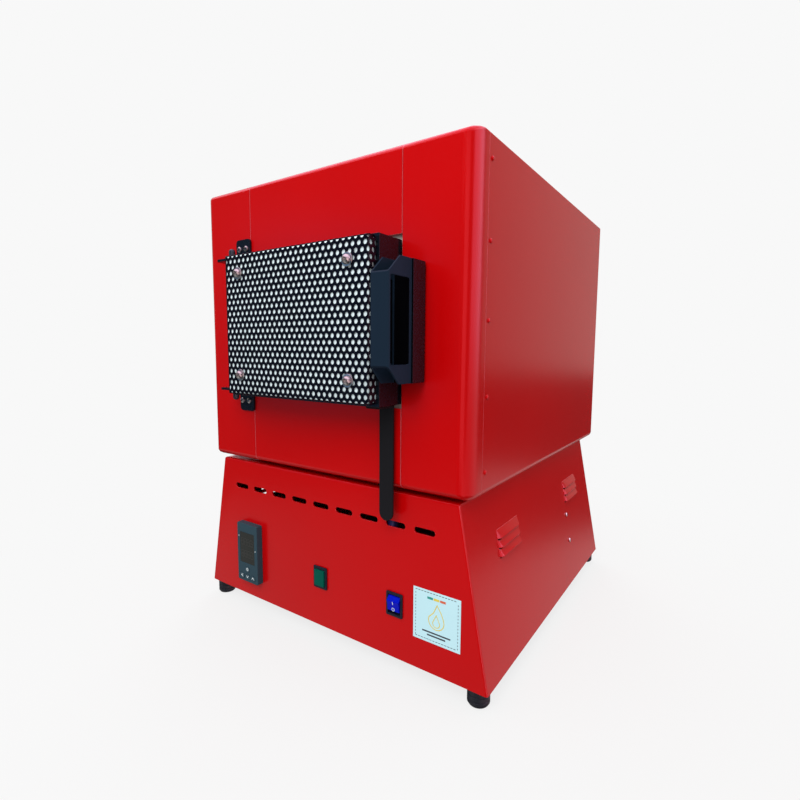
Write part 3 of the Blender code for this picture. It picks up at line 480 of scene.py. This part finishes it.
def wall_point(y, z):
    """A point on the base's sloped right wall, and the wall's outward direction."""
    base = Box("base_shell")
    top_x = base.x1 - WALL_LEAN * (base.z1 - base.z0)
    t = (z - base.z0) / (base.z1 - base.z0)
    out = Vector((1.0, 0.0, WALL_LEAN)).normalized()
    return (base.x1 * (1 - t) + top_x * t, y, z), out


SIDE_SCREWS = ((381.0, 133.7), (379.0, 89.6))


def sheet_screws():
    """Screws that hold the relay's sink, the rear panels and the terminal cover."""
    for k, (y, z) in enumerate(SIDE_SCREWS):
        at, out = wall_point(y, z)
        pan_screw(f"sink_screw_{k + 1}", at, tuple(out), SHEET_SCREW_R, "bright_fastener", turn=0.2 + k)
    inset = 12.0
    rear, cover, low = Box("casing_rear_panel"), Box("terminal_cover"), Box("base_rear_panel")
    spots = [(x, rear.y1, z) for x in (rear.x0 + inset, rear.x, rear.x1 - inset)
             for z in (rear.z0 + inset, rear.z, rear.z1 - inset) if x != rear.x or z != rear.z]
    spots += [(x, cover.y1, z) for x in (cover.x0 + inset, cover.x1 - inset)
              for z in (cover.z0 + inset, cover.z1 - inset)]
    spots += [(x, low.y1, z) for z in (low.z0 + inset, low.z1 - inset)
              for x in (low.x0 + 60, low.x, low.x1 - 60)]
    for k, at in enumerate(spots):
        pan_screw(f"rear_screw_{k + 1}", at, (0, 1, 0), SHEET_SCREW_R, "dark_fastener", turn=0.7 * k)


# ================================================================ printed and small parts
def add_plate(body, outline, y, thick):
    """Extrude a front-facing (x, z) outline forwards from y by thick."""
    back = [body.verts.new(mm(x, y, z)) for x, z in outline]
    front = [body.verts.new(mm(x, y - thick, z)) for x, z in outline]
    count = len(outline)
    body.faces.new(back)
    body.faces.new(front)
    for k in range(count):
        j = (k + 1) % count
        body.faces.new((back[k], back[j], front[j], front[k]))


def bar(x0, x1, z0, z1):
    return [(x0, z0), (x1, z0), (x1, z1), (x0, z1)]


def stroke(points, width, closed=False):
    """Bars along a path of (x, z) points."""
    pairs = list(zip(points, points[1:] + points[:1])) if closed else list(zip(points, points[1:]))
    out = []
    for (ax, az), (bx, bz) in pairs:
        length = math.hypot(bx - ax, bz - az)
        ux, uz = (bx - ax) / length * width / 2, (bz - az) / length * width / 2
        out.append([(ax - ux + uz, az - uz - ux), (bx + ux + uz, bz + uz - ux),
                    (bx + ux - uz, bz + uz + ux), (ax - ux - uz, az - uz + ux)])
    return out


def curve_points(cx, cz, r, start, end, steps, squash=1.0):
    turns = [math.radians(start + (end - start) * k / steps) for k in range(steps + 1)]
    return [(cx + r * squash * math.cos(a), cz + r * math.sin(a)) for a in turns]


def print_piece(name, shapes, y, thick, material, slot, rides="root"):
    """Thin raised print made of flat shapes, each at its own tiny height so that none coincide."""
    body = bmesh.new()
    for k, outline in enumerate(shapes):
        add_plate(body, outline, y, thick + 0.002 * k)
    return finish_piece(name, body, slot, rides, material=material)


INK = {
    "paper": surface("label_paper", (0.60, 0.90, 0.98), 0.45, specular=0.3, mottle=0.02, grain=(1.0, 0.01)),
    "dark": surface("print_dark", (0.05, 0.06, 0.08), 0.5, mottle=0.1, mottle_mm=3.0),
    "gold": surface("print_gold", (0.80, 0.62, 0.08), 0.5, mottle=0.08, mottle_mm=3.0),
    "teal": surface("print_teal", (0.02, 0.34, 0.30), 0.5, mottle=0.08, mottle_mm=3.0),
    "coral": surface("print_coral", (0.75, 0.14, 0.06), 0.5, mottle=0.08, mottle_mm=3.0),
    "white": surface("print_white", (0.80, 0.88, 0.90), 0.5, mottle=0.04, mottle_mm=3.0),
    "ghost": surface("display_ghost", (0.037, 0.040, 0.036), 0.4, mottle=0.06, mottle_mm=3.0),
}
LABEL = (392.8, 459.8, 62.7, 129.9)


def label():
    """A plain square label: a bordered card with a flame pictogram and bars, no words."""
    x0, x1, z0, z1 = LABEL
    y = Box("base_shell").y0 - 0.05
    print_piece("label_card", [bar(x0, x1, z0, z1)], y, 0.35, INK["paper"], "pad_white")
    top = y - 0.35
    dash, gap, inset, line = 3.0, 1.2, 3.2, 0.7
    border = []
    run = x0 + inset
    while run + dash < x1 - inset:
        for z in (z0 + inset, z1 - inset):
            border.append(bar(run, run + dash, z, z + line))
        run += dash + gap
    run = z0 + inset
    while run + dash < z1 - inset:
        for x in (x0 + inset, x1 - inset - line):
            border.append(bar(x, x + line, run + 1.0, run + dash))
        run += dash + gap
    print_piece("label_border", border, top, 0.05, INK["dark"], "frame_black")
    mid = (x0 + x1) / 2
    for k, ink in enumerate(("teal", "gold", "coral")):
        left = mid - 13.0 + 9.0 * k
        tab = bar(left, left + 8.0, z1 - 11.0, z1 - 8.0)
        print_piece(f"label_tab_{ink}", [tab], top, 0.05, INK[ink], "pad_white")
    flame = curve_points(mid, z0 + 30.0, 11.0, 160, 380, 10)
    flame += [(mid + 7.0, z0 + 42.0), (mid + 1.0, z0 + 51.0), (mid - 4.0, z0 + 40.0)]
    inner = curve_points(mid, z0 + 27.0, 5.0, 170, 370, 8) + [(mid, z0 + 38.0)]
    lines = stroke(flame, 1.1, True) + stroke(inner, 0.9, True)
    print_piece("label_flame", lines, top, 0.05, INK["gold"], "pad_white")
    bars = [bar(mid - w / 2, mid + w / 2, z0 + h, z0 + h + 2.0) for w, h in ((40.0, 12.5), (26.0, 8.5))]
    print_piece("label_bars", bars, top, 0.05, INK["dark"], "frame_black")


def key_marks():
    """A generic sign on each controller key: a ring, and arrows left, down and up."""
    for k in range(1, 5):
        key = Box(f"controller_key_{k}")
        x, z = key.x, key.z
        signs = (
            stroke(curve_points(x, z, 2.0, 120, 420, 10), 0.8) + stroke([(x, z + 0.6), (x, z + 2.8)], 0.8),
            stroke([(x + 1.6, z + 2.0), (x - 1.8, z), (x + 1.6, z - 2.0)], 0.9),
            stroke([(x - 2.2, z + 1.2), (x, z - 1.6), (x + 2.2, z + 1.2)], 0.9),
            stroke([(x - 2.2, z - 1.2), (x, z + 1.6), (x + 2.2, z - 1.2)], 0.9),
        )
        print_piece(f"key_sign_{k}", signs[k - 1], key.y0 - 0.02, 0.06, INK["white"], "key_plastic",
                    f"key_{k}")


def display_marks():
    """Unlit digits in the window, and two small status lights beside it."""
    window, case = Box("controller_window"), Box("controller_body")
    shapes = []
    for row in (0.30, 0.70):
        z = window.z0 + (window.z1 - window.z0) * row
        for k in range(4):
            x = window.x0 + (window.x1 - window.x0) * (0.17 + 0.22 * k)
            w, h = 2.6, 5.4
            corners = [(x - w, z - h), (x + w, z - h), (x + w, z), (x + w, z + h), (x - w, z + h), (x - w, z)]
            shapes += stroke(corners, 0.7, True) + stroke([(x - w, z), (x + w, z)], 0.7)
    print_piece("display_digits", shapes, window.y0 - 0.01, 0.03, INK["ghost"], "display_window")
    ticks = [bar(window.x1 + 1.8, window.x1 + 3.4, window.z - 2.0, window.z - 0.4),
             bar(window.x0 - 3.4, window.x0 - 1.8, window.z + 17.0, window.z + 18.6)]
    print_piece("status_lights", ticks, case.y0 - 0.02, 0.1, INK["white"], "key_plastic")


ROCK_TILT = 9.0


def rocker_marks():
    """The usual I and O on the rocker's two halves, lying on its tilted face."""
    cap = Box("rocker")
    pivot = mm(cap.x, Box("base_shell").y0 + 3.0, Box("rocker_frame").z)
    spin = Matrix.Rotation(math.radians(ROCK_TILT), 3, "X")
    signs = (("on", stroke([(0.0, 2.8), (0.0, 6.2)], 1.0)),
             ("off", stroke(curve_points(0.0, -4.6, 2.0, 0, 324, 9), 0.6, True)))
    slope = 0.6 / 6.8
    for name, shapes in signs:
        body = bmesh.new()
        for k, outline in enumerate(shapes):
            for layer, faces in ((0.0, []), (0.12 + 0.002 * k, [])):
                for x, z in outline:
                    y = -7.4 - slope * abs(z) - layer
                    point = spin @ (Vector((x, y, z)) / 1000.0)
                    faces.append(body.verts.new(pivot + point))
                if layer == 0.0:
                    rear = faces
            body.faces.new(rear)
            body.faces.new(faces)
            for a in range(4):
                b = (a + 1) % 4
                body.faces.new((rear[a], rear[b], faces[b], faces[a]))
        finish_piece(f"rocker_sign_{name}", body, "rocker_blue", "rocker_cap", material=INK["white"])


def ribbed_feet():
    """Rubber feet with a chamfered sole and two grooves."""
    for k in range(1, 5):
        cad = Box(f"foot_{k}")
        r, h = (cad.x1 - cad.x0) / 2, cad.z1 - cad.z0
        profile = [(r * 0.5, 0.6), (r * 0.72, 0.0), (r * 0.88, 1.0), (r, 3.6)]
        for level in (0.38, 0.66):
            z = h * level
            profile += [(r, z - 1.0), (r - 0.9, z - 0.5), (r - 0.9, z + 0.5), (r, z + 1.0)]
        profile += [(r, h)]
        foot = lathe_piece(f"rubber_foot_{k}", (cad.x, cad.y, cad.z0), (0, 0, 1), profile, "foot_rubber",
                           sides=48)
        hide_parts(f"foot_{k}")


COIL_R = 3.1
COIL_WIRE = 0.65
COIL_PITCH = 3.4


def element_route(cad):
    """The element's centre line: four runs joined by end turns, both tails to the back."""
    bend = 4.5
    levels = [cad.z0 + 3.5 + (cad.z1 - cad.z0 - 7.0) * k / 3 for k in range(4)]
    front, back = cad.y0 + 3.5, Box("brick_left").y1 - 82.0
    route = [(cad.y1, levels[0])]
    for k, z in enumerate(levels):
        heading = front if k % 2 == 0 else back
        away = 1.0 if k % 2 == 0 else -1.0
        if k == 3:
            route.append((cad.y1, z))
            break
        nxt = levels[k + 1]
        for a in range(5):
            turn = math.pi / 2 * a / 4
            route.append((heading + away * bend * (1 - math.sin(turn)), z + bend * (1 - math.cos(turn))))
        for a in range(5):
            turn = math.pi / 2 * a / 4
            route.append((heading + away * bend * (1 - math.cos(turn)),
                          nxt - bend * (1 - math.sin(turn))))
    return route


def heating_coil(node, name):
    """Resistance wire wound in a close helix along the element's route."""
    cad = Box(node)
    route = [mm(cad.x, y, z) for y, z in element_route(cad)]
    lengths = [0.0]
    for a, b in zip(route, route[1:]):
        lengths.append(lengths[-1] + (b - a).length)
    body = bmesh.new()
    per_turn, sides = 10, 5
    count = int(lengths[-1] / (COIL_PITCH / 1000.0) * per_turn)
    across = Vector((1, 0, 0))
    last, leg = None, 0
    for k in range(count + 1):
        along = lengths[-1] * k / count
        while leg < len(route) - 2 and along > lengths[leg + 1]:
            leg += 1
        tangent = (route[leg + 1] - route[leg]).normalized()
        centre = route[leg] + tangent * (along - lengths[leg])
        up = tangent.cross(across).normalized()
        angle = 2 * math.pi * k / per_turn
        out = across * math.cos(angle) + up * math.sin(angle)
        ring = []
        for side in range(sides):
            a = 2 * math.pi * side / sides
            offset = out * (COIL_R + COIL_WIRE * math.cos(a)) + tangent * (COIL_WIRE * math.sin(a))
            ring.append(body.verts.new(centre + offset / 1000.0))
        if last:
            for side in range(sides):
                nxt = (side + 1) % sides
                body.faces.new((last[side], last[nxt], ring[nxt], ring[side]))
        else:
            body.faces.new(ring)
        last = ring
    body.faces.new(last)
    coil = finish_piece(name, body, "heater_wire", smooth_deg=80.0)
    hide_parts(node)


# ================================================================ camera, light, floor
CAMERA_AT = (711.2, -487.2, 425.4)
CAMERA_YAW = 34.507
CAMERA_PITCH = -5.922
CAMERA_ROLL = 0.358
LENS = 22.04


def make_camera():
    yaw, pitch, roll = (math.radians(a) for a in (CAMERA_YAW, CAMERA_PITCH, CAMERA_ROLL))
    ahead = Vector((-math.sin(yaw) * math.cos(pitch), math.cos(yaw) * math.cos(pitch), math.sin(pitch)))
    right = Vector((math.cos(yaw), math.sin(yaw), 0.0))
    up = right.cross(ahead)
    right_r = right * math.cos(roll) + up * math.sin(roll)
    up_r = up * math.cos(roll) - right * math.sin(roll)
    data = bpy.data.cameras.new("camera")
    data.lens = LENS
    data.sensor_width = 36.0
    data.clip_start = 0.01
    camera = bpy.data.objects.new("camera", data)
    bpy.context.scene.collection.objects.link(camera)
    turn = Matrix((right_r, up_r, -ahead)).transposed().to_4x4()
    camera.matrix_world = Matrix.Translation(mm(*CAMERA_AT)) @ turn
    bpy.context.scene.camera = camera


def step(tree, value, start, end):
    """A smooth step from 0 at start to 1 at end (or down, if end is below start)."""
    low, high = (0.0, 1.0) if end > start else (1.0, 0.0)
    node = new_node(tree, "ShaderNodeMapRange", {
        "Value": value, "From Min": min(start, end), "From Max": max(start, end),
        "To Min": low, "To Max": high},
        interpolation_type="SMOOTHSTEP")
    return node.outputs["Result"]


def times(tree, a, b):
    return new_node(tree, "ShaderNodeMath", {0: a, 1: b}, operation="MULTIPLY").outputs[0]


BACKDROP = (0.939, 0.939, 0.939, 1)
DOME_LOW, DOME_HIGH = 0.40, 0.95


def make_world():
    """A bright studio: white to look at, an even dome for diffuse light, shaped cards for gloss."""
    world = bpy.data.worlds.new("studio")
    bpy.context.scene.world = world
    world.use_nodes = True
    world.cycles.sampling_method = "NONE"
    tree = world.node_tree
    tree.nodes.clear()
    ray = new_node(tree, "ShaderNodeTexCoord").outputs["Generated"]
    split = new_node(tree, "ShaderNodeSeparateXYZ", {"Vector": ray})
    x, y, z = split.outputs
    back = new_node(tree, "ShaderNodeMath", {0: y, 1: -1.0}, operation="MULTIPLY").outputs[0]
    azimuth = new_node(tree, "ShaderNodeMath", {0: x, 1: back}, operation="ARCTAN2").outputs[0]

    def card(colour, power, az, el, soft_az=0.15, soft_el=0.1):
        """A soft-edged patch of light between two azimuths (radians) and two heights (sines)."""
        mask = step(tree, azimuth, az[0] - soft_az, az[0])
        mask = times(tree, mask, step(tree, azimuth, az[1] + soft_az, az[1]))
        mask = times(tree, mask, step(tree, z, el[0] - soft_el, el[0]))
        mask = times(tree, mask, step(tree, z, el[1] + soft_el, el[1]))
        power = times(tree, mask, power)
        scaled = new_node(tree, "ShaderNodeVectorMath", {0: colour, "Scale": power}, operation="SCALE")
        return scaled.outputs[0]

    cards = [
        # a dim room all round, and the ceiling
        card((1.0, 1.0, 1.0), 0.04, (-4.0, 4.0), (-1.2, 1.2)),
        card((1.0, 0.68, 0.88), 1.7, (-4.0, 4.0), (0.62, 1.2), soft_el=0.08),
        # a window to the right, for the casing's rounded corner
        card((1.0, 0.60, 0.84), 3.2, (1.60, 2.34), (0.10, 0.62), 0.20, 0.22),
        card((1.0, 0.50, 0.55), 1.2, (1.50, 2.34), (-0.50, -0.05), 0.20, 0.10),
        # walls behind with a dark line across them, for the casing's side
        card((1.0, 0.88, 0.82), 0.42, (2.66, 4.0), (-0.035, 0.60), 0.12, 0.02),
        card((1.0, 0.88, 0.82), 0.42, (-4.0, -1.30), (-0.035, 0.60), 0.12, 0.02),
        card((1.0, 0.88, 0.88), 0.52, (2.50, 4.0), (-1.2, -0.255), 0.12, 0.03),
        # a blue patch and the floor in front, for the black plates and the base
        card((0.20, 0.50, 1.0), 0.7, (-0.78, -0.62), (-0.07, 0.20), 0.16, 0.08),
        card((1.0, 0.92, 0.92), 0.42, (-1.30, -0.20), (-1.2, -0.34), 0.20, 0.10),
        # strips that the painted-highlight edges pick up in their gloss
        card((1.0, 0.66, 0.72), 1.6, (0.45, 0.95), (-0.20, 0.35), 0.12, 0.10),
        card((1.0, 0.66, 0.72), 1.6, (-2.50, -2.10), (-0.20, 0.35), 0.12, 0.10),
        card((1.0, 0.66, 0.70), 1.6, (0.95, 1.35), (-0.62, -0.28), 0.12, 0.10),
    ]
    total = cards[0]
    for extra in cards[1:]:
        total = new_node(tree, "ShaderNodeVectorMath", {0: total, 1: extra}, operation="ADD").outputs[0]
    gloss = new_node(tree, "ShaderNodeBackground", {"Color": total, "Strength": 1.0})
    dome_level = new_node(tree, "ShaderNodeMapRange", {
        "Value": z, "From Min": -0.5, "From Max": 0.6,
        "To Min": DOME_LOW, "To Max": DOME_HIGH}).outputs["Result"]
    dome = new_node(tree, "ShaderNodeBackground", {"Color": (1, 1, 1, 1), "Strength": dome_level})
    white = new_node(tree, "ShaderNodeBackground", {"Color": BACKDROP, "Strength": 1.0})
    path = new_node(tree, "ShaderNodeLightPath").outputs
    mix = new_node(tree, "ShaderNodeMixShader", {0: path["Is Glossy Ray"]})
    tree.links.new(dome.outputs[0], mix.inputs[1])
    tree.links.new(gloss.outputs[0], mix.inputs[2])
    last = new_node(tree, "ShaderNodeMixShader", {0: path["Is Camera Ray"]})
    tree.links.new(mix.outputs[0], last.inputs[1])
    tree.links.new(white.outputs[0], last.inputs[2])
    out = new_node(tree, "ShaderNodeOutputWorld")
    tree.links.new(last.outputs[0], out.inputs["Surface"])


def soft_light(name, at, target, size, power, colour=(1, 1, 1)):
    """A square softbox that lights the surfaces without showing in their gloss."""
    data = bpy.data.lights.new(name, "AREA")
    data.size = size
    data.energy = power
    data.color = colour
    light = bpy.data.objects.new(name, data)
    bpy.context.scene.collection.objects.link(light)
    light.location = at
    light.rotation_mode = "QUATERNION"
    light.rotation_quaternion = (Vector(target) - Vector(at)).to_track_quat("-Z", "Y")
    light.visible_glossy = False


FLOOR_SHADOW = 0.17


def make_floor():
    """A pale floor that takes the kiln's soft shadow and fades into the background."""
    body = bmesh.new()
    bmesh.ops.create_circle(body, cap_ends=True, segments=96, radius=14.0)
    mesh = bpy.data.meshes.new("floor")
    body.to_mesh(mesh)
    body.free()
    floor = bpy.data.objects.new("floor", mesh)
    bpy.context.scene.collection.objects.link(floor)
    floor.location.z = -0.0002
    material = bpy.data.materials.new("floor")
    material.use_nodes = True
    tree = material.node_tree
    tree.nodes.clear()
    place = new_node(tree, "ShaderNodeTexCoord").outputs["Object"]
    away = new_node(tree, "ShaderNodeVectorMath", {0: place}, operation="LENGTH").outputs["Value"]
    fade = spread(tree, away, 1.0 - FLOOR_SHADOW, 1.0, 0.30, 0.85)
    matt = new_node(tree, "ShaderNodeBsdfDiffuse", {"Color": (0.80, 0.80, 0.80, 1)})
    glow = new_node(tree, "ShaderNodeEmission", {"Color": BACKDROP, "Strength": 1.0})
    mix = new_node(tree, "ShaderNodeMixShader", {0: fade})
    tree.links.new(matt.outputs[0], mix.inputs[1])
    tree.links.new(glow.outputs[0], mix.inputs[2])
    out = new_node(tree, "ShaderNodeOutputMaterial")
    tree.links.new(mix.outputs[0], out.inputs["Surface"])
    mesh.materials.append(material)
    floor.visible_diffuse = False
    floor.visible_glossy = False


def make_light():
    soft_light("key", (0.35, -1.35, 1.35), (0.0, 0.0, 0.3), 0.9, 12.5)
    soft_light("fill_back", (-0.9, 1.4, 1.5), (0.0, 0.0, 0.3), 1.2, 12.0)


bpy.context.scene.view_settings.view_transform = "Standard"
make_camera()
make_world()
make_light()
make_floor()
dress_cad_nodes()
perforated_guard()
guard_bolts()
casing_rivets()
bracket_screws()
sheet_screws()
label()
key_marks()
display_marks()
rocker_marks()
ribbed_feet()
heating_coil("element_left", "coil_left")
heating_coil("element_right", "coil_right")
